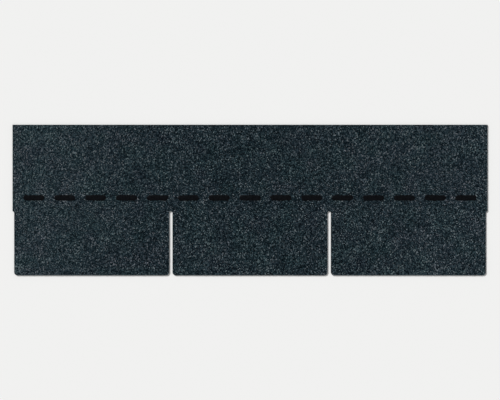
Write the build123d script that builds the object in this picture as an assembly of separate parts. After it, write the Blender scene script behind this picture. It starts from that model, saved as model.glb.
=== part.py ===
from build123d import *
import os

# One strip of three-tab asphalt roof shingle, lying flat with its granule face up.
#
# The strip is a single sheet: a glass mat coated on both sides with asphalt and surfaced with mineral granules.
# Its lower half is cut into three tabs. A full cut-out separates each pair of tabs, and half a cut-out is taken
# from each end, so that two strips laid end to end make a full one between them.
# A line of asphalt adhesive dashes lies across the face, above the cut-outs. It bonds the tabs of the next course.
# A clear release tape is pressed flush into the back, behind the dashes. In a stack it keeps each strip off the
# adhesive of the strip below.
#
# Frame, in millimetres: X along the strip, Y up the roof slope, Z out of the granule face.
# The origin is the middle of the back face. The tabs point to -Y.

# The sheet
strip_length = 1000.0
strip_height = 317.0
sheet_thickness = 3.0

# The tabs and the cut-outs between them
tab_count = 3
cutout_width = 7.0
cutout_height = 135.0
tab_corner_radius = 6.5

# The adhesive dashes
seal_above_cutouts = 28.0
dash_length = 45.0
dash_width = 12.0
dash_thickness = 0.8
dash_edge_radius = 0.5
dash_gap = 20.0
dash_end_margin = 20.0

# The release tape on the back
tape_width = 38.0
tape_thickness = 0.05

# Places that follow from the sizes above
tab_pitch = strip_length / tab_count
butt_edge_y = -strip_height / 2
cutout_top_y = butt_edge_y + cutout_height
seal_y = cutout_top_y + seal_above_cutouts
cutout_centres_x = [-strip_length / 2 + i * tab_pitch for i in range(tab_count + 1)]


def cutout_outline(centre_x):
    """A slot open at the butt edge, with a round top: half of it falls outside the sheet at either end."""
    round_centre_y = cutout_top_y - cutout_width / 2
    shank_height = round_centre_y - butt_edge_y
    shank = Pos(centre_x, butt_edge_y) * Rectangle(
        cutout_width, shank_height, align=(Align.CENTER, Align.MIN)
    )
    round_top = Pos(centre_x, round_centre_y) * Circle(cutout_width / 2)
    return shank + round_top


def strip_outline():
    """The die-cut outline: a rectangle less its cut-outs, with the corners of every tab rounded."""
    outline = Rectangle(strip_length, strip_height)
    for centre_x in cutout_centres_x:
        outline -= cutout_outline(centre_x)
    tab_corners = outline.vertices().group_by(Axis.Y)[0]
    return fillet(tab_corners, tab_corner_radius)


def tape_outline():
    """The tape's plan, full length, centred behind the adhesive dashes."""
    return Pos(0, seal_y) * Rectangle(strip_length, tape_width)


def make_sheet():
    """The coated mat, with the seat of the tape pressed into its back."""
    sheet = extrude(strip_outline(), sheet_thickness)
    tape_seat = extrude(tape_outline(), tape_thickness)
    return sheet - tape_seat


def make_release_tape():
    """The film, flush with the back of the sheet."""
    return extrude(tape_outline(), tape_thickness)


def make_dash():
    """One adhesive dash: round ends and a softened rim, because it was laid down as a hot bead."""
    bead = extrude(SlotOverall(dash_length, dash_width), dash_thickness)
    rim = bead.faces().sort_by(Axis.Z)[-1].edges()
    return fillet(rim, dash_edge_radius)


def make_seal_strip():
    """The row of dashes, centred on the strip, as many as fit between the end margins."""
    dash_pitch = dash_length + dash_gap
    room = strip_length - 2 * dash_end_margin
    dash_count = int((room + dash_gap) // dash_pitch)
    dash = make_dash()
    row = GridLocations(dash_pitch, 0, dash_count, 1)
    on_face = Pos(0, seal_y, sheet_thickness)
    return Compound(children=[on_face * place * dash for place in row])


def main():
    os.makedirs("parts", exist_ok=True)
    export_step(make_sheet(), "parts/shingle_sheet.step")
    export_step(make_seal_strip(), "parts/seal_strip.step")
    export_step(make_release_tape(), "parts/release_tape.step")


main()
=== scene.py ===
# %% [markdown]
# # A three-tab asphalt shingle, seen from straight above
#
# A shingle strip is a thin sheet: a glass mat soaked and coated with asphalt, with ceramic-coated stone
# granules rolled into its face while the asphalt is hot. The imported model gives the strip's size and place.
# This script gives it the surfaces that the eye knows it by: grains, cut edges, adhesive and a dusted back.
#
# Lengths are worked out in millimetres, as a shingle maker states them, and turned to metres when a mesh is
# made.

# %% The fixed frame
import math

import bpy
import numpy as np
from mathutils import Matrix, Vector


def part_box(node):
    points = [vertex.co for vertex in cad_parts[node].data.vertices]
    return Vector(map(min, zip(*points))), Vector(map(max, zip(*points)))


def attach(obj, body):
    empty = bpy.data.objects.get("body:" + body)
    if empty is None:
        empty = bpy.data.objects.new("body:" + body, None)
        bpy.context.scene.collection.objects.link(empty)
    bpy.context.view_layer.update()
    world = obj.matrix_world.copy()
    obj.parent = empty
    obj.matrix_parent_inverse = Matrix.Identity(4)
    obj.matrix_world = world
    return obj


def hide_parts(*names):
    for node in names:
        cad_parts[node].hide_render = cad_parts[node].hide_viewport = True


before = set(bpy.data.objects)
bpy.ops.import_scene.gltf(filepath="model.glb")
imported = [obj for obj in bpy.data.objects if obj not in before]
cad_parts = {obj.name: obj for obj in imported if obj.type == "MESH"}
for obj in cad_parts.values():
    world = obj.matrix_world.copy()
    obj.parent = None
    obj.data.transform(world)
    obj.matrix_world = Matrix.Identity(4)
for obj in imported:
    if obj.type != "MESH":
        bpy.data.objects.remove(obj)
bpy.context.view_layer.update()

print("pieces in the frame:", sorted(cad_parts))

# %% [markdown]
# ## Sizes
#
# The boxes of the three nodes give the outer sizes, so the looks follow the model if it changes. A box
# can't tell where the strip is slit or how its adhesive is shared out, so the sizes of the cut-outs, the
# tabs and the dashes are stated again here.

# %% Sizes in millimetres
MM = 0.001
sheet_low, sheet_high = (np.array(corner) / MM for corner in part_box("shingle_sheet"))
dash_low, dash_high = (np.array(corner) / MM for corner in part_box("seal_strip"))
tape_low, tape_high = (np.array(corner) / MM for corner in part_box("release_tape"))

tab_count = 3
cutout_width = 7.0
cutout_height = 135.0
tab_corner_radius = 6.5
dash_length, dash_gap = 45.0, 20.0

left_x, right_x = sheet_low[0], sheet_high[0]
butt_y, top_y = sheet_low[1], sheet_high[1]
face_z = sheet_high[2]
strip_length, strip_height = right_x - left_x, top_y - butt_y
tab_pitch = strip_length / tab_count
cutout_top_y = butt_y + cutout_height
round_centre_y = cutout_top_y - cutout_width / 2
cutout_centres_x = left_x + tab_pitch * np.arange(tab_count + 1)
print(f"strip {strip_length:.0f} x {strip_height:.0f} x {face_z:.1f} mm")
print("cut-outs at x =", cutout_centres_x.round(1))

# %% Places of the dashes
dash_width = dash_high[1] - dash_low[1]
dash_y = (dash_high[1] + dash_low[1]) / 2
dash_pitch = dash_length + dash_gap
dash_count = round((dash_high[0] - dash_low[0] + dash_gap) / dash_pitch)
dash_middles = (np.arange(dash_count) - (dash_count - 1) / 2) * dash_pitch
print(f"{dash_count} adhesive dashes, {dash_pitch:.0f} mm from one to the next, on y = {dash_y:.1f}")

# %% [markdown]
# ## Camera
#
# The picture to match looks straight at the face, and parallel edges stay parallel in it. An orthographic
# camera would do that, but a long lens from a few metres away does it too, and it behaves like a real one
# when it is moved to look from the side. The strip fills most of the picture's width.

# %% Camera
picture_width = 500
strip_share_of_width = 0.95
lens_mm, sensor_mm = 120.0, 36.0

view_width = strip_length / strip_share_of_width
camera_distance = view_width * lens_mm / sensor_mm
camera_data = bpy.data.cameras.new("camera")
camera_data.lens = lens_mm
camera_data.sensor_width = sensor_mm
camera = bpy.data.objects.new("camera", camera_data)
camera.location = (0, 0, (face_z + camera_distance) * MM)
bpy.context.scene.collection.objects.link(camera)
bpy.context.scene.camera = camera
bpy.context.scene.view_settings.view_transform = "Standard"
print(f"camera {camera_distance:.0f} mm above the face, {view_width / picture_width:.2f} mm to a pixel")

# %% [markdown]
# ## Colours
#
# Colours are written as hex, as a paint chart gives them. Blender mixes light in linear values, so one
# function turns the first into the second.

# %% Colours
def linear(hex_colour):
    """An sRGB hex colour as linear RGBA.

    Each channel c, from 0 to 1, becomes c / 12.92 near black and ((c + 0.055) / 1.055) ** 2.4 above.
    """
    channels = [int(hex_colour[i:i + 2], 16) / 255 for i in (1, 3, 5)]
    return [c / 12.92 if c <= 0.04045 else ((c + 0.055) / 1.055) ** 2.4 for c in channels] + [1.0]


print("mid grey on a screen is", round(linear("#808080")[0], 3), "of white's light")

# %% [markdown]
# ## Floor
#
# The floor is as plain as white paper. It needs a material and a mesh, as every piece does, so their
# helpers come with it. One function adds a node of any kind and joins it to others. Another puts arrays of
# points and faces into a mesh in a single call each: a second for a million corners, not minutes.

# %% Nodes, and paint for the floor
def set_stops(elements, stops):
    """Gives a colour ramp its (place, hex colour) stops."""
    while len(elements) < len(stops):
        elements.new(0.5)
    for element, (place, hex_colour) in zip(elements, stops):
        element.position = place
        element.color = linear(hex_colour)


def add_node(owner, kind, inputs=None, **settings):
    """Adds a node to a material or a world.

    inputs gives an input, by its name or by its number among those in use, a plain value, a socket to link,
    or a node, which stands for its first output in use. settings are the node's own attributes, or a ramp's
    stops.
    """
    tree = owner.node_tree
    node = tree.nodes.new(kind)
    for name, value in settings.items():
        if name == "stops":
            set_stops(node.color_ramp.elements, value)
        else:
            setattr(node, name, value)
    in_use = [socket for socket in node.inputs if socket.enabled]
    for key, value in (inputs or {}).items():
        target = in_use[key] if isinstance(key, int) else next(s for s in in_use if s.name == key)
        if isinstance(value, bpy.types.Node):
            value = next(socket for socket in value.outputs if socket.enabled)
        if isinstance(value, bpy.types.NodeSocket):
            tree.links.new(value, target)
        else:
            target.default_value = value
    return node


def new_material(name):
    """A material with an empty node tree."""
    material = bpy.data.materials.new(name)
    material.use_nodes = True
    material.node_tree.nodes.clear()
    return material


def finish_material(material, inputs):
    """Ends a material with its Principled shader, which gets these inputs, and its output."""
    shader = add_node(material, "ShaderNodeBsdfPrincipled", inputs)
    add_node(material, "ShaderNodeOutputMaterial", {"Surface": shader})
    print(f"{material.name}: {len(material.node_tree.nodes)} nodes")


floor_paint = new_material("matte white floor")
finish_material(floor_paint, {"Base Color": linear("#F3F3F2"), "Roughness": 1.0, "Specular IOR Level": 0.0})

# %% Meshes, and the floor
uv_name = "OFBake"  # the name of a piece's own UV map


def new_piece(name, points_mm, faces, material, uvs=None, smooth=False):
    """A mesh object from an (n, 3) array of points in millimetres and an (m, k) array of faces.

    uvs gives each corner of each face its place in the piece's own UV map.
    """
    mesh = bpy.data.meshes.new(name)
    mesh.vertices.add(len(points_mm))
    mesh.vertices.foreach_set("co", (points_mm * MM).astype(np.float32).ravel())
    mesh.loops.add(faces.size)
    mesh.loops.foreach_set("vertex_index", faces.astype(np.int32).ravel())
    mesh.polygons.add(len(faces))
    mesh.polygons.foreach_set("loop_start", np.arange(0, faces.size, faces.shape[1], dtype=np.int32))
    mesh.polygons.foreach_set("use_smooth", np.full(len(faces), smooth))
    mesh.update(calc_edges=True)
    if uvs is not None:
        mesh.uv_layers.new(name=uv_name).data.foreach_set("uv", uvs.astype(np.float32).ravel())
    mesh.materials.append(material)
    piece = bpy.data.objects.new(name, mesh)
    bpy.context.scene.collection.objects.link(piece)
    return piece


floor_size = 40000.0
floor_drop = 0.2  # keeps the floor and the strip's back out of one plane
floor_corners = np.array([[-1, -1, 0], [1, -1, 0], [1, 1, 0], [-1, 1, 0]]) * floor_size / 2
floor = new_piece("floor", floor_corners - [0, 0, floor_drop], np.array([[0, 1, 2, 3]]), floor_paint)
print(f"a floor {floor_size * MM:.0f} m square")

# %% [markdown]
# ## Light
#
# The light comes from the upper left: it leaves the left side of each cut-out in shadow. A sun lamp lights
# a metre of shingle evenly from end to end, which a nearby lamp wouldn't, and a wide angle gives its
# shadows the soft edge of a studio light. The sky fills the shadows. Together they light a level white
# surface to just under 1, so every colour renders about as it is written.
#
# The sky has two strengths. As a light it is weak. Seen by the camera, straight or in a reflection, it is
# as pale as the floor, so the floor has no horizon when the strip is seen from the side.

# %% Sky
sky_share = 0.38
backdrop_share = 0.88

sky = bpy.data.worlds.new("soft sky")
sky.use_nodes = True
sky.node_tree.nodes.clear()
ray = add_node(sky, "ShaderNodeLightPath").outputs
seen = add_node(sky, "ShaderNodeMath", {0: ray["Is Camera Ray"], 1: ray["Is Glossy Ray"]}, operation="ADD")
seen = add_node(sky, "ShaderNodeMath", {0: seen, 1: ray["Is Transmission Ray"]}, operation="ADD")
strength = add_node(sky, "ShaderNodeMapRange", {"Value": seen, "To Min": sky_share, "To Max": backdrop_share})
background = add_node(sky, "ShaderNodeBackground", {"Color": linear("#FFFFFF"), "Strength": strength})
add_node(sky, "ShaderNodeOutputWorld", {"Surface": background})
bpy.context.scene.world = sky
print(f"sky strength {sky_share} as a light, {backdrop_share} in view")

# %% Sun
sun_share = 0.60
sun_elevation, sun_azimuth = 42.0, 135.0
sun_width = 9.0

sun_data = bpy.data.lights.new("sun", "SUN")
sun_data.angle = math.radians(sun_width)
sun_data.energy = sun_share * math.pi / math.sin(math.radians(sun_elevation))
sun = bpy.data.objects.new("sun", sun_data)
sun.rotation_euler = (0, math.radians(90 - sun_elevation), math.radians(sun_azimuth))
bpy.context.scene.collection.objects.link(sun)
print(f"sun strength {sun_data.energy:.2f}, {sun_elevation:.0f} degrees up")

# %% [markdown]
# ## The outline as a distance
#
# The sheet, its torn edge and the grains all need to know how far a point is from the cut outline. A signed
# distance says it in one number: negative inside the sheet and positive in the air. It is put together from
# a few simple shapes, so it works on whole arrays.

# %% Signed distance to the outline
def outline_distance(x, y):
    """Signed distance to the strip's outline, in millimetres, negative inside.

    Below the round top of the cut-outs a point belongs to the nearest tab, a box with rounded lower
    corners: its distance is that of a smaller box, less the corner radius. Above, it is the larger of the
    distance to the whole rectangle and, with the sign turned, the distance to the nearest cut-out's round
    top.
    """
    tab_index = np.clip(np.floor((x - left_x) / tab_pitch), 0, tab_count - 1)
    tab_x = left_x + (tab_index + 0.5) * tab_pitch
    beside = np.abs(x - tab_x) - ((tab_pitch - cutout_width) / 2 - tab_corner_radius)
    below = butt_y + tab_corner_radius - y
    to_tab = np.hypot(np.maximum(beside, 0), np.maximum(below, 0)) + np.minimum(np.maximum(beside, below), 0)
    to_tab -= tab_corner_radius
    slot_x = left_x + np.round((x - left_x) / tab_pitch) * tab_pitch
    out_of_slot = cutout_width / 2 - np.hypot(x - slot_x, y - round_centre_y)
    to_headlap = np.maximum(np.abs(x) - strip_length / 2, y - top_y)
    return np.where(y < round_centre_y, to_tab, np.maximum(to_headlap, out_of_slot))


half_way_up = np.full(2, butt_y + cutout_height / 2)
print("distance at a tab's middle and in a cut-out:",
      outline_distance(np.array([0.0, cutout_centres_x[1]]), half_way_up).round(2))

# %% Moving points inside
def inwards(x, y, step=0.01):
    """Unit vectors away from the outline: down the slope of the distance, taken over one step either way."""
    slope_x = outline_distance(x + step, y) - outline_distance(x - step, y)
    slope_y = outline_distance(x, y + step) - outline_distance(x, y - step)
    return -np.stack([slope_x, slope_y], -1) / np.hypot(slope_x, slope_y)[..., None]


def pull_inside(points, depth=0.0):
    """Moves points less than depth inside the outline inwards by what they lack, twice because of corners."""
    for _ in range(2):
        lack = outline_distance(points[..., 0], points[..., 1]) + depth
        out = lack > 0
        points[out, :2] += lack[out, None] * inwards(*points[out, :2].T)
    return points


print("a point 5 mm past the top edge moves to", pull_inside(np.array([[0.0, top_y + 5]])))

# %% [markdown]
# ## Slow variation
#
# Granules are dropped from a hopper onto a moving sheet, so they are never spread quite evenly. A lattice
# of random numbers, blended smoothly between its points, gives that slow drift. Noise textures do the same
# inside a material, but here each granule needs one value of its own. The same noise tears the edge and
# lifts the adhesive.

# %% Smooth noise
lattice_rows, lattice_columns = 64, 128


def smooth_noise(x, y, cell, seed):
    """Value noise from -1 to 1: random numbers on a lattice, blended by the curve 3t^2 - 2t^3 both ways."""
    lattice = np.random.default_rng(seed).uniform(-1, 1, (lattice_rows, lattice_columns))
    column, row = x / cell, y / cell
    left, low = np.floor(column).astype(int), np.floor(row).astype(int)
    across, up = column - left, row - low
    across, up = across * across * (3 - 2 * across), up * up * (3 - 2 * up)

    def at(i, j):
        return lattice[i % lattice_rows, j % lattice_columns]

    lower = at(low, left) * (1 - across) + at(low, left + 1) * across
    upper = at(low + 1, left) * (1 - across) + at(low + 1, left + 1) * across
    return lower * (1 - up) + upper * up


def waves(x, y, parts, seed):
    """Sum of smooth noises. parts are (cell, height) pairs. Each has a seed of its own, from this one up."""
    return sum(height * smooth_noise(x, y, cell, seed + i) for i, (cell, height) in enumerate(parts))


print("noise at three points:", smooth_noise(np.array([0.0, 5.0, 50.0]), np.zeros(3), 10, seed=1).round(2))

# %% [markdown]
# ## The coated sheet
#
# Under the grains lies black asphalt. Booleans could cut it from a block, as the knife does, but they leave
# long, thin faces. Here the sheet is a grid of points: rows run across the strip, and in each row the points
# are spread between the two sides of each tab. The sides follow the cut-outs, and the grid follows the
# sides, up the rounded corners and over the round tops. The same plan serves for the face and the back, and
# walls close it along every edge that only one quad uses. It stays a third of a millimetre inside the
# outline, because the torn edge gets a band of its own.

# %% Half width of a cut-out
bend_rows = 7


def gap_at(y):
    """Half the width of a cut-out at height y.

    It is the slot's: even, then half the chord of the round top. The rounded corners add to it at the butt.
    """
    at_corner = np.clip(butt_y + tab_corner_radius - y, 0, tab_corner_radius)
    corner = tab_corner_radius - np.sqrt(tab_corner_radius**2 - at_corner**2)
    in_round = np.clip(y - round_centre_y, 0, cutout_width / 2)
    slot = np.sqrt((cutout_width / 2) ** 2 - in_round**2)
    return np.where(y < cutout_top_y, corner + slot, 0.0)


def heights_where_it_bends():
    """Heights up the rounded corner and up the round top, at even turns of a quarter circle each."""
    turn = np.linspace(0, np.pi / 2, bend_rows + 1)
    return butt_y + tab_corner_radius * (1 - np.cos(turn)), round_centre_y + cutout_width / 2 * np.sin(turn)


print("gap at the butt edge, half way up and at the top:",
      gap_at(np.array([butt_y, butt_y + cutout_height / 2, cutout_top_y])))

# %% Plan of the sheet
sheet_inset = 0.35
columns_per_tab, shank_rows, headlap_rows = 24, 21, 29


def grid_quads(number):
    """Quads between neighbours on a grid of point numbers: along a row, then over to the next."""
    here, beside = number[..., :-1, :-1], number[..., :-1, 1:]
    over, across = number[..., 1:, :-1], number[..., 1:, 1:]
    return np.stack([here, beside, across, over], -1).reshape(-1, 4)


def sheet_plan():
    """The sheet's (x, y) points and quads, with the points that neighbouring tabs share merged.

    x is the left side of a tab plus a share of its width, and the share goes from 0 to 1 in even steps.
    """
    corner, round_top = heights_where_it_bends()
    shank = np.linspace(corner[-1], round_top[0], shank_rows + 1)[1:-1]
    headlap = np.linspace(round_top[-1], top_y, headlap_rows + 1)[1:]
    y = np.concatenate([corner, shank, round_top, headlap])
    left, right = cutout_centres_x[:-1, None] + gap_at(y), cutout_centres_x[1:, None] - gap_at(y)
    x = left[..., None] + (right - left)[..., None] * np.linspace(0, 1, columns_per_tab + 1)
    points = np.stack([x, np.broadcast_to(y[:, None], x.shape)], -1).reshape(-1, 2)
    quads = grid_quads(np.arange(len(points)).reshape(x.shape))
    _, first, merged = np.unique(points.round(4), axis=0, return_index=True, return_inverse=True)
    return pull_inside(points[first], sheet_inset), merged.ravel()[quads]


plan, plan_quads = sheet_plan()
print(len(plan), "points in the plan,", len(plan_quads), "quads")

# %% Face, back and walls
def slab(plan, quads, top, bottom):
    """Points and quads of a closed sheet: its plan at the height top, again at bottom, and walls.

    The heights are one for all points or one for each. The quads of the bottom are turned over. A wall
    hangs from each edge that only one quad uses, and its corners run against that quad's.
    """
    count = len(plan)
    edges = np.stack([quads, np.roll(quads, -1, axis=1)], -1).reshape(-1, 2)
    _, which, uses = np.unique(np.sort(edges, axis=1), axis=0, return_inverse=True, return_counts=True)
    start, end = edges[uses[which.ravel()] == 1].T
    walls = np.stack([start, start + count, end + count, end], -1)
    points = np.vstack([np.column_stack([plan, np.broadcast_to(z, count)]) for z in (top, bottom)])
    return points, np.vstack([quads, quads[:, ::-1] + count, walls])


def signed_volume(points, faces):
    """Volume inside a closed mesh, positive if its faces point outwards.

    Every face is a fan of triangles. Each makes a tetrahedron with the origin, and their volumes are summed.
    """
    a = points[faces[:, 0]]
    total = 0.0
    for i in range(1, faces.shape[1] - 1):
        total += np.einsum("ij,ij->i", a, np.cross(points[faces[:, i]], points[faces[:, i + 1]])).sum()
    return total / 6


print(f"a plain sheet of this plan holds {signed_volume(*slab(plan, plan_quads, face_z, 0)) / 1000:.0f} cm3")

# %% Heights of the sheet
grain_bed_z = face_z - 0.65
bed_waves = ((14.0, 0.06),)
film_room = 0.01


def back_height(y):
    """Height of the back face: nought, but just over the film where the tape is pressed in."""
    return np.where((y > tape_low[1]) & (y < tape_high[1]), tape_high[2] + film_room, 0.0)


bed = grain_bed_z + waves(*plan.T, bed_waves, seed=1)
sheet_points, sheet_quads = slab(plan, plan_quads, bed, back_height(plan[:, 1]))
print(f"sheet volume {signed_volume(sheet_points, sheet_quads) / 1000:.0f} cm3, {len(sheet_quads)} quads")

# %% [markdown]
# ## Finishes of the sheet
#
# Two finishes meet on the sheet. The bed between the grains is black asphalt with the fines of the granules
# rolled into it. The back is the same asphalt dusted with sand, so that strips don't stick together in a
# stack: matt, grey and faintly streaked along the strip, which is how the sheet ran through the machine.
# Both read Object coordinates, which are metres on the strip itself, so a pattern's scale is 1 over its
# size in metres.
#
# A picture of each finish could be laid over the sheet, but it would blur close up and repeat. Patterns that
# Blender works out from a formula do neither. Crushed stone is made of lumps with flat sides, and so is a
# Voronoi pattern: it gives every cell one random colour and tells how far a point is from the cell's
# middle. Fines, sand and filler are all drawn with it, each at its size.
#
# Roughness follows the pattern too. Black stone under a pale sky would look grey with the shader's usual
# specular level of 0.5, so all finishes but the film's have less, matched to the picture.

# %% Patterns
noise_low, noise_high = 0.3, 0.7  # most values of a noise texture lie between these
lump_top, lump_foot = 0.2, 0.75  # distances from the middle of a Voronoi cell, in cells


def in_features(material, size_mm, stretch=(1, 1, 1)):
    """Object coordinates counted in features of size_mm, stretched along the given axes."""
    place = add_node(material, "ShaderNodeTexCoord").outputs["Object"]
    per_metre = [1 / (size_mm * MM * along) for along in stretch]
    return add_node(material, "ShaderNodeVectorMath", {0: place, 1: per_metre}, operation="MULTIPLY")


def grit(material, size_mm):
    """A random number for each lump of grit, and how high it stands: 1 in its middle and 0 between lumps."""
    place = in_features(material, size_mm)
    lumps = add_node(material, "ShaderNodeTexVoronoi", {"Vector": place, "Scale": 1.0})
    pick = add_node(material, "ShaderNodeSeparateColor", {"Color": lumps.outputs["Color"]})
    height = add_node(material, "ShaderNodeMapRange",
                      {"Value": lumps, "From Min": lump_foot, "From Max": lump_top})
    return pick, height


fines_mm, sand_mm, filler_mm = 1.1, 0.55, 0.5
for name, size in (("fines", fines_mm), ("sand", sand_mm), ("filler", filler_mm)):
    print(f"{1 / (size * MM):.0f} lumps of {name} to a metre")

# %% Asphalt bed
# Filled asphalt with fines half drowned in it: black where it ran smooth, grey-blue where a crumb of stone
# shows.
asphalt_ripple_mm, fines_relief_mm = 9.0, 0.25
asphalt = new_material("hot-laid asphalt coating with stone fines")
fine_pick, fine_height = grit(asphalt, fines_mm)
ripple = add_node(asphalt, "ShaderNodeTexNoise",
                  {"Vector": in_features(asphalt, asphalt_ripple_mm), "Scale": 1.0, "Detail": 4.0})
stone = add_node(asphalt, "ShaderNodeValToRGB", {"Fac": fine_pick},
                 stops=[(0.0, "#0B0F12"), (0.4, "#161D21"), (0.75, "#28333A"), (1.0, "#4A575E")])
bare = add_node(asphalt, "ShaderNodeValToRGB", {"Fac": ripple},
                stops=[(noise_low, "#050607"), (noise_high, "#0C0E10")])
colour = add_node(asphalt, "ShaderNodeMix", {"Factor": fine_height, "A": bare, "B": stone}, data_type="RGBA")
dulling = add_node(asphalt, "ShaderNodeMapRange", {"Value": fine_height, "To Min": 0.5, "To Max": 0.9})
bump = add_node(asphalt, "ShaderNodeBump", {"Height": fine_height, "Distance": fines_relief_mm * MM})
finish_material(asphalt, {
    "Base Color": colour, "Roughness": dulling, "Specular IOR Level": 0.04, "Normal": bump,
})

# %% Sanded back
# Asphalt dusted with sand: most grains are coated dark and some are bare and pale. The web's travel left
# faint streaks in how thick they lie, along X.
streak_mm, streak_stretch, sand_relief_mm = 8.0, (14, 1, 1), 0.15
sanded = new_material("sand-dusted asphalt back")
sand_pick, sand_height = grit(sanded, sand_mm)
streaks = add_node(sanded, "ShaderNodeTexNoise",
                   {"Vector": in_features(sanded, streak_mm, streak_stretch), "Scale": 1.0, "Detail": 5.0})
under = add_node(sanded, "ShaderNodeValToRGB", {"Fac": streaks},
                 stops=[(noise_low, "#141515"), (noise_high, "#1C1C1C")])
sand = add_node(sanded, "ShaderNodeValToRGB", {"Fac": sand_pick},
                stops=[(0.0, "#191919"), (0.45, "#2B2B2A"), (0.8, "#4A4946"), (1.0, "#89867F")])
thick = add_node(sanded, "ShaderNodeMapRange",
                 {"Value": streaks, "From Min": noise_low, "From Max": noise_high, "To Min": 0.65})
cover = add_node(sanded, "ShaderNodeMath", {0: sand_height, 1: thick}, operation="MULTIPLY")
colour = add_node(sanded, "ShaderNodeMix", {"Factor": cover, "A": under, "B": sand}, data_type="RGBA")
dulling = add_node(sanded, "ShaderNodeMapRange", {"Value": sand_height, "To Min": 0.65, "To Max": 0.95})
bump = add_node(sanded, "ShaderNodeBump", {"Height": sand_height, "Distance": sand_relief_mm * MM})
finish_material(sanded, {
    "Base Color": colour, "Roughness": dulling, "Specular IOR Level": 0.2, "Normal": bump,
})

# %% Write the sheet
sheet = new_piece("coated_sheet", sheet_points, sheet_quads, asphalt)
sheet.data.materials.append(sanded)
finish = np.zeros(len(sheet_quads), dtype=np.int32)
finish[len(plan_quads):2 * len(plan_quads)] = 1  # the back's quads come after the face's
sheet.data.polygons.foreach_set("material_index", finish)
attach(sheet, "root")
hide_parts("shingle_sheet")
print(finish.sum(), "quads of the back are sanded")

# %% [markdown]
# ## Cut edge
#
# The strip is cut with a rolling knife, which leaves a sheer but torn edge: pits where grit broke out, and
# the glass mat standing a little proud as a pale, broken line. The edge is a section carried along the
# outline. Its points are depths below the outline at a few heights, and every one is shifted by noise. Two
# more points lie inside the sheet and close the section to a tube, and the outline is a loop, so the whole
# band is closed. Bump in a material would be less work, but it would leave the outline smooth.

# %% The outline as a loop
def outline_loop(step):
    """Points along the outline about one step apart, counter-clockwise, and the length run up to each.

    Every tab gives its left side, downwards, and its right side, upwards. A side lies gap_at off the
    cut-out's middle, so the round top and the rounded corner are in it. Each straight stretch between two
    of these points is then divided into as many even steps as it holds.
    """
    y = np.concatenate(heights_where_it_bends())
    sides = []
    for left, right in zip(cutout_centres_x[:-1], cutout_centres_x[1:]):
        sides.append(np.column_stack([left + gap_at(y), y])[::-1])
        sides.append(np.column_stack([right - gap_at(y), y]))
    corners = np.vstack(sides + [[[right_x, top_y], [left_x, top_y]], sides[0][:1]])
    lengths = np.hypot(*np.diff(corners, axis=0).T)
    parts = np.maximum(1, np.round(lengths / step)).astype(int)
    stretch = np.repeat(np.arange(len(parts)), parts)
    share = (np.arange(len(stretch)) - (np.cumsum(parts) - parts)[stretch]) / parts[stretch]
    points = corners[stretch] + share[:, None] * (corners[stretch + 1] - corners[stretch])
    return points, (np.cumsum(lengths) - lengths)[stretch] + share * lengths[stretch]


edge_step = 1.1
edge_points, edge_run = outline_loop(edge_step)
print(len(edge_points), "points along", round(edge_run[-1]), "mm of cut edge")

# %% Section of the cut edge
# One column for each point of the section, from the seam inside the sheet down the edge and back to the
# inside: height, depth below the outline, and how much deeper a tear may go.
mat_height, mat_thickness = 1.15, 0.45
inner_depth = 1.2
edge_heights, edge_depths, torn_depths = np.array([
    [grain_bed_z - 0.1, inner_depth, 0.0],
    [grain_bed_z, 0.15, 0.2],
    [1.75, 0.1, 0.45],
    [mat_height + mat_thickness / 2, 0.02, 0.12],
    [mat_height - mat_thickness / 2, 0.02, 0.12],
    [0.45, 0.08, 0.45],
    [0.0, 0.1, 0.25],
    [0.15, inner_depth, 0.0],
]).T
tear_mm, rows_apart_mm = 3.0, 7.0
smooth_share = 0.6


def edge_band():
    """Points, (rows, columns, 3), of the torn edge.

    A point's depth below the outline is its place in the section plus its torn depth times a noise from 0
    to 1, part smooth along the edge and part drawn for each point. Its height is the section's, or the
    back's where that is higher, which is only over the ends of the tape.
    """
    rows, columns = len(edge_heights), len(edge_points)
    along = np.broadcast_to(edge_run, (rows, columns))
    smooth = 0.5 + 0.5 * smooth_noise(along, rows_apart_mm * np.arange(rows)[:, None], tear_mm, seed=6)
    rough = np.random.default_rng(7).uniform(0, 1, (rows, columns))
    torn = smooth_share * smooth + (1 - smooth_share) * rough
    depth = edge_depths[:, None] + torn_depths[:, None] * torn
    x, y = edge_points.T
    places = edge_points + depth[..., None] * inwards(x, y)
    z = np.maximum(edge_heights[:, None], back_height(y))
    return np.concatenate([places, z[..., None]], -1)


band_points = edge_band()
band_rows, band_columns = band_points.shape[:2]
band_numbers = np.arange(band_rows * band_columns).reshape(band_rows, band_columns)
band_quads = grid_quads(np.pad(band_numbers, ((0, 1), (0, 1)), mode="wrap"))[:, ::-1]
print(f"edge volume {signed_volume(band_points.reshape(-1, 3), band_quads):.0f} mm3, {len(band_quads)} quads")

# %% Lay the edge out like lines of text
# A band three metres long and a few millimetres wide would waste a square texture. So its own UV map cuts
# it into lines, one above the other, each with the whole section in its height.
text_lines = 16


def edge_uvs(rows, columns):
    """UVs of the quads' corners: u runs along a line, and v is the line's number plus the section's share."""
    row, column = np.divmod(np.arange(rows * columns), columns)
    per_line = math.ceil(columns / text_lines)
    line, place = np.divmod(column, per_line)
    corner_u = (place[:, None] + np.array([0, 1, 1, 0])) / per_line
    corner_v = (line[:, None] + (row[:, None] + np.array([1, 1, 0, 0])) / rows) / text_lines
    return np.stack([corner_u, corner_v], -1).reshape(-1, 2)


band_uvs = edge_uvs(band_rows, band_columns)
print("the UVs run from", band_uvs.min(axis=0), "to", band_uvs.max(axis=0))

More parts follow.
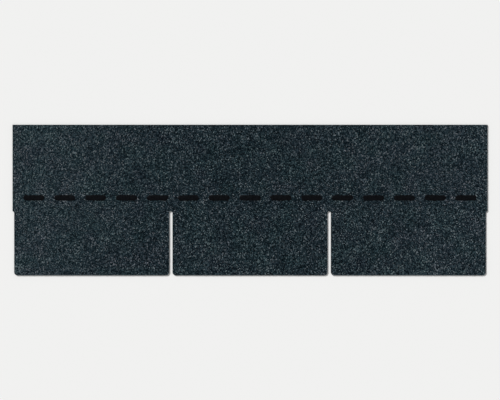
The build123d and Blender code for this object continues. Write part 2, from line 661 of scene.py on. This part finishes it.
# %% Knife-cut finish
# Black asphalt full of crushed limestone, dull where the knife tore it, and the pale ends of glass fibres
# where it cut the mat.
fibre_bundle_mm, filler_relief_mm = 0.7, 0.3
cut_edge = new_material("knife-cut asphalt and glass mat")
place = add_node(cut_edge, "ShaderNodeTexCoord").outputs["Object"]
height = add_node(cut_edge, "ShaderNodeSeparateXYZ", {"Vector": place}).outputs["Z"]
off_mat = add_node(cut_edge, "ShaderNodeMath", {0: height, 1: mat_height * MM}, operation="SUBTRACT")
off_mat = add_node(cut_edge, "ShaderNodeMath", {0: off_mat}, operation="ABSOLUTE")
mat_reach = 0.6 * mat_thickness * MM  # the line fades out just past the mat's faces
in_mat = add_node(cut_edge, "ShaderNodeMapRange", {"Value": off_mat, "From Min": mat_reach, "From Max": 0.0})
fibres = add_node(cut_edge, "ShaderNodeTexNoise",
                  {"Vector": in_features(cut_edge, fibre_bundle_mm), "Scale": 1.0, "Detail": 3.0})
broken = add_node(cut_edge, "ShaderNodeMath", {0: in_mat, 1: fibres}, operation="MULTIPLY")
mat_shows = add_node(cut_edge, "ShaderNodeMapRange", {"Value": broken, "From Min": 0.25, "From Max": 0.65})
filler_pick, filler_height = grit(cut_edge, filler_mm)
filled = add_node(cut_edge, "ShaderNodeValToRGB", {"Fac": filler_pick},
                  stops=[(0.0, "#070808"), (0.6, "#101112"), (0.85, "#242526"), (1.0, "#4A4A48")])
colour = add_node(cut_edge, "ShaderNodeMix",
                  {"Factor": mat_shows, "A": filled, "B": linear("#5C5952")}, data_type="RGBA")
dulling = add_node(cut_edge, "ShaderNodeMapRange", {"Value": filler_height, "To Min": 0.6, "To Max": 0.9})
bump = add_node(cut_edge, "ShaderNodeBump", {"Height": filler_height, "Distance": filler_relief_mm * MM})
finish_material(cut_edge, {
    "Base Color": colour, "Roughness": dulling, "Specular IOR Level": 0.2, "Normal": bump,
})

# %% Write the cut edge
edge = new_piece("cut_edge", band_points.reshape(-1, 3), band_quads, cut_edge, uvs=band_uvs)
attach(edge, "root")
print(len(edge.data.polygons), "quads, with a UV map named", edge.data.uv_layers[0].name)

# %% [markdown]
# ## Granules
#
# The granules are crushed stone, so each is an angular lump with a few flat facets. A displaced sheet would
# need a point every tenth of a millimetre to show those, so every grain is a shape of its own. Two kinds
# are enough. A coarse grain is a small triangle over a larger one turned half way between its corners:
# eight faces, and six corners to the eye. A fine grain has one edge on top and one below, crosswise, and
# four faces. Both are closed.
#
# Real grains are 1 to 2 mm across, and half a million lie on a strip. These are 1.5 to 3 mm across, so that
# they show at two millimetres to a pixel and 150,000 cover the strip. They are set out on a jittered grid,
# as whole arrays: a place, a turn, a squash and a tilt for each.

# %% Where the grains lie
coarse_spacing, fine_spacing, cut_spacing = 2.4, 2.0, 1.3
coarse_jitter, fine_jitter, cut_jitter = 0.28, 0.45, 0.3
cut_grain_depth = 0.4
dash_overlap = 0.9


def under_dash(x, y):
    """True under an adhesive dash but for its rim: less than half its width from its straight spine."""
    from_middle = np.abs(x[:, None] - dash_middles).min(axis=1)
    along = np.maximum(from_middle - (dash_length - dash_width) / 2, 0)
    return np.hypot(along, y - dash_y) < dash_width / 2 - dash_overlap


def jittered_grid(spacing, jitter, rng):
    """One point in each cell of a triangular grid, off its middle by up to the jitter, a share of the cell.

    Every other row is shifted by half a cell, and the rows lie as close as those of a pattern of triangles.
    """
    nx, ny = int(strip_length / spacing), int(strip_height / (spacing * math.sin(math.radians(60))))
    x, y = np.meshgrid(np.arange(nx) + 0.5, np.arange(ny) + 0.5)
    x = x + 0.5 * (np.arange(ny) % 2)[:, None] - 0.25
    cells = np.stack([x, y], -1).reshape(-1, 2) + rng.uniform(-jitter, jitter, (nx * ny, 2))
    places = cells / [nx, ny] * [strip_length, strip_height] + [left_x, butt_y]
    x, y = places.T
    return places[(outline_distance(x, y) < 0) & ~under_dash(x, y)]


def along_the_cut(spacing, jitter, depth, rng):
    """One point for each spacing of the outline, a little inside it, so that its grain is cut through."""
    points, _ = outline_loop(spacing)
    return pull_inside(points + rng.uniform(-jitter, jitter, points.shape) * spacing, depth)


rng = np.random.default_rng(11)
coarse_places = np.vstack([
    along_the_cut(cut_spacing, cut_jitter, cut_grain_depth, rng),
    jittered_grid(coarse_spacing, coarse_jitter, rng),
])
fine_places = jittered_grid(fine_spacing, fine_jitter, rng)
print(len(coarse_places), "coarse grains and", len(fine_places), "fine ones")

# %% Shapes of the grains
coarse_faces = np.array(
    [[0, 2, 1], [3, 4, 5], [0, 1, 3], [1, 2, 4], [2, 0, 5], [3, 1, 4], [4, 2, 5], [5, 0, 3]]
)
fine_faces = np.array([[1, 3, 2], [0, 2, 3], [0, 3, 1], [0, 1, 2]])
top_reach, top_edge = 0.8, 0.9
reach_spread, corner_spread, fine_spread = 0.18, 0.22, 0.2
squash_limits = (0.8, 1.2)


def coarse_shapes(n, rng):
    """Two triangles, at -1 and at 1. The upper is smaller and half a step round. Corners stray a little."""
    turn = np.radians([0, 120, 240, 60, 180, 300]) + rng.uniform(-corner_spread, corner_spread, (n, 6))
    reach = np.repeat([1, top_reach], 3) * (1 + rng.uniform(-reach_spread, reach_spread, (n, 6)))
    level = np.repeat([-1, 1], 3) + rng.uniform(-corner_spread, corner_spread, (n, 6))
    return np.stack([reach * np.cos(turn), reach * np.sin(turn), level], -1)


def fine_shapes(n, rng):
    """An edge along x at -1 and one along y at 1. Corners stray a little."""
    corners = np.array([[-1, 0, -1], [1, 0, -1], [0, -top_edge, 1], [0, top_edge, 1]])
    return corners + rng.uniform(-fine_spread, fine_spread, (n, 4, 3))


print(len(coarse_faces), "faces on a coarse grain and", len(fine_faces), "on a fine one")

# %% Set the grains out
def set_out(shapes, places, radius, half_height, middle, tilt, rng):
    """The unit shapes, (n, corners, 3), squashed, turned about Z, tilted, and set at their places.

    x is scaled by the radius times a squash and y by the radius over it. Then both are turned by a random
    angle, and z gets the slope x * tx + y * ty of the tilt. radius, half_height and middle are ranges that
    each grain gets a draw from.
    """
    n = len(places)
    radius, half_height, middle = (rng.uniform(*limits, n) for limits in (radius, half_height, middle))
    squash = rng.uniform(*squash_limits, n)
    local = shapes * np.stack([radius * squash, radius / squash, half_height], -1)[:, None]
    angle = rng.uniform(0, 2 * np.pi, n)
    c, s = np.cos(angle)[:, None], np.sin(angle)[:, None]
    x = local[..., 0] * c - local[..., 1] * s
    y = local[..., 0] * s + local[..., 1] * c
    tilt_x, tilt_y = rng.uniform(-tilt, tilt, (2, n, 1))
    z = middle[:, None] + local[..., 2] + x * tilt_x + y * tilt_y
    return pull_inside(np.stack([x + places[:, 0, None], y + places[:, 1, None], z], -1))


coarse = set_out(coarse_shapes(len(coarse_places), rng), coarse_places, radius=(1.05, 1.5),
                 half_height=(0.36, 0.48), middle=(face_z - 0.46, face_z - 0.30), tilt=0.2, rng=rng)
fine = set_out(fine_shapes(len(fine_places), rng), fine_places, radius=(0.7, 1.1),
               half_height=(0.2, 0.32), middle=(face_z - 0.54, face_z - 0.32), tilt=0.16, rng=rng)
print(f"coarse grains reach {coarse[..., 2].max():.2f} mm, fine ones {fine[..., 2].max():.2f} mm")

# %% [markdown]
# ## Colour of the granules
#
# Each grain has one colour. A pattern in space would run across the grains, so the colour is picked from a
# chart instead: left to right from coal black to pale grey, and bottom to top from a green-blue cast to a
# plum one. The grain's place on the chart is its UV, so the material only has to draw the chart. All faces
# of a grain share a patch of it a few thousandths wide.
#
# The mix in the hopper is never the same for long. So the tone drifts along the strip, by about a tenth
# either way over a tab's length, and little clouds of darker or paler grains lie over that.

# %% Pick the colours
chart_patch, chart_margin = 0.006, 0.01
hopper_waves = ((220.0, 0.55),)
cloud_waves = ((34.0, 0.03), (13.0, 0.03))
cast_waves, cast_spread = ((26.0, 0.3),), 0.1


def chart_places(places, rng):
    """For each grain, how pale it is and which way its cast goes.

    How pale is an even draw from 0 to 1, raised to a power that drifts about 1 along the strip, plus the
    clouds. The cast is a slow wave with a normal spread.
    """
    x, y = places.T
    hopper = np.exp(-waves(x, 0 * y, hopper_waves, seed=24))
    pale = rng.uniform(0, 1, len(places)) ** hopper + waves(x, y, cloud_waves, seed=2)
    cast = 0.5 + waves(x, y, cast_waves, seed=4) + rng.normal(0, cast_spread, len(places))
    return np.clip(np.column_stack([pale, cast]), chart_margin, 1 - chart_margin)


def grain_uvs(chart, faces):
    """UVs of all face corners: the grain's place on the chart, plus a tiny triangle round it."""
    corner = np.array([[-1, -1], [1, -1], [0, 1]]) * chart_patch / 2
    return (chart[:, None, None] + corner).repeat(len(faces), 1).reshape(-1, 2)


coarse_chart, fine_chart = chart_places(coarse_places, rng), chart_places(fine_places, rng)
print("mean place on the chart:", coarse_chart.mean(axis=0).round(2), fine_chart.mean(axis=0).round(2))

# %% Ceramic coat
# Crushed stone with a coloured ceramic coat fired on: matt, a little gritty, with hardly any shine.
coat_grit_mm, coat_relief_mm = 0.3, 0.2
granules = new_material("ceramic-coated granules")
chart_uv = add_node(granules, "ShaderNodeUVMap", uv_map=uv_name)
chart = add_node(granules, "ShaderNodeSeparateXYZ", {"Vector": chart_uv}).outputs
tones = add_node(granules, "ShaderNodeValToRGB", {"Fac": chart["X"]}, stops=[
    (0.0, "#01090E"), (0.25, "#0B1920"), (0.55, "#243239"), (0.8, "#3D4C53"), (0.93, "#5C666B"),
    (1.0, "#82898D"),
])
casts = add_node(granules, "ShaderNodeValToRGB", {"Fac": chart["Y"]},
                 stops=[(0.0, "#E6FFFA"), (1.0, "#FFF3FB")])
colour = add_node(granules, "ShaderNodeMix", {"Factor": 1.0, "A": tones, "B": casts},
                  data_type="RGBA", blend_type="MULTIPLY")
dulling = add_node(granules, "ShaderNodeMapRange", {"Value": chart["X"], "To Min": 0.7, "To Max": 0.95})
coat_grit = add_node(granules, "ShaderNodeTexNoise",
                     {"Vector": in_features(granules, coat_grit_mm), "Scale": 1.0})
bump = add_node(granules, "ShaderNodeBump", {"Height": coat_grit, "Distance": coat_relief_mm * MM})
finish_material(granules, {
    "Base Color": colour, "Roughness": dulling, "Specular IOR Level": 0.03, "Normal": bump,
})

# %% One piece for each field of grains
def field_of(places):
    """Number of the field each grain lies in: 0 to 2 for the tabs, 3 to 5 for the headlap above them."""
    column = np.clip((places[:, 0] - left_x) // tab_pitch, 0, tab_count - 1).astype(int)
    return column + tab_count * (places[:, 1] > cutout_top_y)


def join_grains(kinds):
    """Points, triangles and UVs of one mesh. A kind is its corners, one grain's faces and chart places."""
    points, faces, uvs, start = [], [], [], 0
    for corners, pattern, chart in kinds:
        firsts = start + corners.shape[1] * np.arange(len(corners))
        points.append(corners.reshape(-1, 3))
        faces.append((firsts[:, None, None] + pattern).reshape(-1, 3))
        uvs.append(grain_uvs(chart, pattern))
        start += len(points[-1])
    return np.vstack(points), np.vstack(faces), np.vstack(uvs)


coarse_field, fine_field = field_of(coarse_places), field_of(fine_places)
names = [f"granules_{area}_{side}" for area in ("tab", "headlap") for side in ("left", "middle", "right")]
for number, name in enumerate(names):
    points, faces, uvs = join_grains([
        (coarse[coarse_field == number], coarse_faces, coarse_chart[coarse_field == number]),
        (fine[fine_field == number], fine_faces, fine_chart[fine_field == number]),
    ])
    piece = new_piece(name, points, faces, granules, uvs=uvs)
    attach(piece, "root")
    print(f"{name}: {len(faces)} triangles, volume {signed_volume(points, faces) / 1000:.1f} cm3")

# %% [markdown]
# ## Adhesive dashes
#
# A wheel prints the adhesive on hot, so a dash is a low bead that drapes over the grains, with a soft,
# uneven rim among them. Its outline is a slot: a straight middle with half-round ends. A subdivided block
# could be pushed into that shape, but its rim would be ragged. So rings of the outline run from the middle
# of the top over the rim to the middle of the underside. The first and the last have shrunk to a line, and
# points that meet there are merged, so the bead is closed. A stack presses the beads, so their tops are
# flat.

# %% Shape of a dash
# A ring's side is 1 on top, 0 at the rim and -1 underneath.
around = 96
ring_reach = np.array([0, 0.18, 0.36, 0.54, 0.7, 0.82, 0.91, 0.97, 1, 0.9, 0])
ring_side = np.array([1, 1, 1, 1, 1, 1, 1, 1, 0, -1, -1])
dash_bottom_z = grain_bed_z - 0.1  # sunk a little into the bed
rim_waves, rim_shift = ((6.0, 0.45), (2.4, 0.6)), -0.15
drape_waves, drape_shift = ((1.7, 0.28), (7.0, 0.08)), -0.16
first_dash_seed, seeds_a_dash = 20, 4


def dash_rings(number):
    """Points, (rings, around, 3), of one bead.

    Even steps round the slot give each point its place on the straight spine and its direction from there.
    Its reach is a share of half the width, and on top its level is (1 - reach^4)^(1/2) of half the height
    above the middle. Noise moves the rim in and out and lifts the top over each grain, and the highest
    lumps are pressed flat.
    """
    radius, spine = dash_width / 2, (dash_length - dash_width) / 2
    turns = np.cumsum([0, np.pi * radius, 2 * spine, np.pi * radius, 2 * spine])
    run = np.arange(around) / around * turns[-1]
    angle = np.interp(run, turns, np.radians([-90, 90, 90, 270, 270]))
    spine_x = np.interp(run, turns, [spine, spine, -spine, -spine, spine])
    reach, side = ring_reach[:, None], ring_side[:, None]
    seed = first_dash_seed + seeds_a_dash * number
    x = dash_middles[number] + spine_x + radius * reach * np.cos(angle)
    y = dash_y + radius * reach * np.sin(angle)
    rim = waves(x, y, rim_waves, seed) + rim_shift
    x, y = x + reach * rim * np.cos(angle), y + reach * rim * np.sin(angle)
    level = np.where(side > 0, np.sqrt(1 - reach**4), side)
    drape = np.where(level > 0, waves(x, y, drape_waves, seed + 2) + drape_shift, 0)
    z = (dash_high[2] + dash_bottom_z) / 2 + (dash_high[2] - dash_bottom_z) / 2 * level + drape
    return np.stack([x, y, np.minimum(z, dash_high[2])], -1)


def closed_bead(rings):
    """Points and triangles of a bead, with points that share a place merged and empty triangles dropped."""
    number = np.pad(np.arange(len(rings) * around).reshape(-1, around), ((0, 0), (0, 1)), mode="wrap")
    quads = grid_quads(number)[:, ::-1]
    triangles = np.vstack([quads[:, [0, 1, 2]], quads[:, [0, 2, 3]]])
    points, merged = np.unique(rings.reshape(-1, 3).round(4), axis=0, return_inverse=True)
    triangles = merged.ravel()[triangles]
    a, b, c = triangles.T
    return points, triangles[(a != b) & (b != c) & (c != a)]


bead_points, bead_triangles = closed_bead(dash_rings(0))
print(f"a bead of {len(bead_triangles)} triangles and {signed_volume(bead_points, bead_triangles):.0f} mm3")

# %% Adhesive
# Unfilled asphalt adhesive: blacker than the coating, with wet-looking glints where it drapes over a grain,
# because nothing is mixed into it or dusted on it.
skin_mm, grain_under_mm, grain_relief_mm = 4.0, 1.5, 0.5
adhesive = new_material("hot-laid asphalt adhesive")
skin = add_node(adhesive, "ShaderNodeTexNoise",
                {"Vector": in_features(adhesive, skin_mm), "Scale": 1.0, "Detail": 4.0})
colour = add_node(adhesive, "ShaderNodeValToRGB", {"Fac": skin},
                  stops=[(noise_low, "#050608"), (noise_high, "#0C0E11")])
dulling = add_node(adhesive, "ShaderNodeMapRange", {
    "Value": skin, "From Min": noise_low, "From Max": noise_high, "To Min": 0.22, "To Max": 0.38,
})
lumps = add_node(adhesive, "ShaderNodeTexNoise",
                 {"Vector": in_features(adhesive, grain_under_mm), "Scale": 1.0})
bump = add_node(adhesive, "ShaderNodeBump", {"Height": lumps, "Distance": grain_relief_mm * MM})
finish_material(adhesive, {
    "Base Color": colour, "Roughness": dulling, "Specular IOR Level": 0.03, "Normal": bump,
})

# %% Lay the dashes
points, triangles, start = [], [], 0
for number in range(dash_count):
    bead_points, bead_triangles = closed_bead(dash_rings(number))
    points.append(bead_points)
    triangles.append(bead_triangles + start)
    start += len(bead_points)
points, triangles = np.vstack(points), np.vstack(triangles)
dashes = new_piece("adhesive_dashes", points, triangles, adhesive, smooth=True)
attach(dashes, "root")
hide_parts("seal_strip")
print(f"{len(triangles)} triangles, volume {signed_volume(points, triangles) / 1000:.2f} cm3")

# %% [markdown]
# ## Release tape
#
# The tape on the back is polyester film a few hundredths of a millimetre thick, pressed into warm asphalt.
# It lies flush, so all that sets it off is its gloss and the fine wrinkles it took from the press. A glossy
# band in the back's own material would look much the same, but the film is peeled or cut as a piece of its
# own, so it is one here.

# %% Polyester film
# Clear film over black asphalt: black with a gloss, broken by the sand that shows through it, long shallow
# wrinkles and specks where air stayed under it. The specks are real air pockets, but their pale silver-grey
# is
# painted reflection: the shine of the film lifted over them is put into their colour.
wrinkle_mm, wrinkle_stretch, speck_mm = 7.0, (4, 1, 1), 0.9
film_relief_mm = 0.06
film = new_material("clear polyester film on asphalt")
wrinkles = add_node(film, "ShaderNodeTexNoise",
                    {"Vector": in_features(film, wrinkle_mm, wrinkle_stretch), "Scale": 1.0, "Detail": 3.0})
speck_pick, speck_height = grit(film, speck_mm)
some = add_node(film, "ShaderNodeMapRange", {"Value": speck_pick, "From Min": 0.6, "To Max": 0.8})
specks = add_node(film, "ShaderNodeMath", {0: some, 1: speck_height}, operation="MULTIPLY")
wetted = add_node(film, "ShaderNodeValToRGB", {"Fac": wrinkles},
                  stops=[(noise_low, "#121517"), (noise_high, "#25292B")])
# Painted reflection: the air specks get a pale silver-grey colour for the shine of the lifted film.
speck_painted_reflection = add_node(film, "ShaderNodeValToRGB", {"Fac": wrinkles},
                    stops=[(noise_low, "#43484A"), (noise_high, "#6A7073")])
colour = add_node(film, "ShaderNodeMix", {"Factor": specks, "A": wetted, "B": speck_painted_reflection}, data_type="RGBA")
dulling = add_node(film, "ShaderNodeMapRange", {
    "Value": wrinkles, "From Min": noise_low, "From Max": noise_high, "To Min": 0.1, "To Max": 0.2,
})
relief = add_node(film, "ShaderNodeMath", {0: wrinkles, 1: specks}, operation="ADD")
bump = add_node(film, "ShaderNodeBump", {"Height": relief, "Distance": film_relief_mm * MM})
finish_material(film, {"Base Color": colour, "Roughness": dulling, "Normal": bump})

# %% Write the tape
tape_columns, tape_rows = 120, 6
tape_waves, tape_lift = ((7.0, 0.01),), 0.012  # lifted by more than it waves, so it stays off the floor

x, y = np.meshgrid(np.linspace(tape_low[0], tape_high[0], tape_columns + 1),
                   np.linspace(tape_low[1], tape_high[1], tape_rows + 1))
tape_plan = np.column_stack([x.ravel(), y.ravel()])
tape_quads = grid_quads(np.arange(x.size).reshape(x.shape))
tape_under = tape_low[2] + tape_lift + waves(*tape_plan.T, tape_waves, seed=5)
tape_points, tape_faces = slab(tape_plan, tape_quads, tape_high[2], tape_under)
tape = new_piece("release_film", tape_points, tape_faces, film)
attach(tape, "root")
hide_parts("release_tape")
print(f"film volume {signed_volume(tape_points, tape_faces):.0f} mm3")

# %% [markdown]
# ## The whole strip
#
# The grains are most of the mesh. Their number was chosen to keep the strip under a million triangles, each
# field under two hundred thousand.

# %% Count the triangles
kept_apart = {"floor", *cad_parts}
added = [obj.data for obj in bpy.data.objects if obj.type == "MESH" and obj.name not in kept_apart]
print("triangles in all:", sum(len(mesh.loops) - 2 * len(mesh.polygons) for mesh in added))
